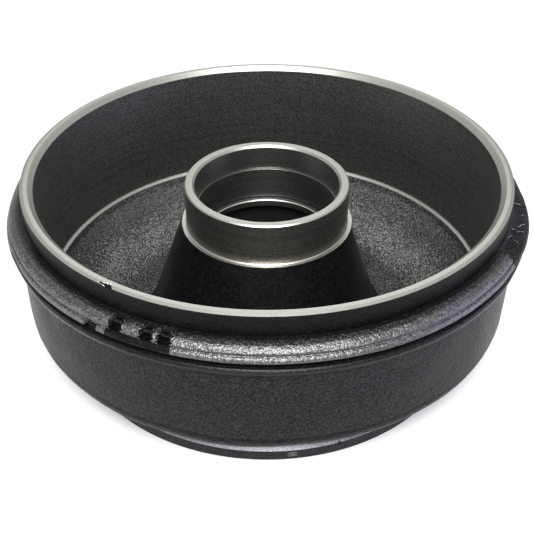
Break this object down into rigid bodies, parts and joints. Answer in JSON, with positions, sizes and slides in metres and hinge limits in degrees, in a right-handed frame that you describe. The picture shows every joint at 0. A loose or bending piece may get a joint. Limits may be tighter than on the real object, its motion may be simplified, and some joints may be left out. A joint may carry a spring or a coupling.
{
  "type": "brake drum",
  "caption": "Round cast-iron brake drum: open shoe space inside a stiffened rim, stepped closed end, wheel flange, and a tall central boss bored for two bearings and a seal.",
  "frame": {"origin": "centre of the flat wheel face that the drum stands on", "axes": "+Z along the drum's axis, out of its open end; -Y towards the viewer of the picture, so the short gaps in the band lie at the front left"},
  "size_m": [0.352, 0.3518, 0.138],
  "materials": {
    "iron": "as cast, with turned rim, track, boss and bores"
  },
  "bodies": {
    "root": {"brake_drum": "iron"}
  },
  "joints": []
}
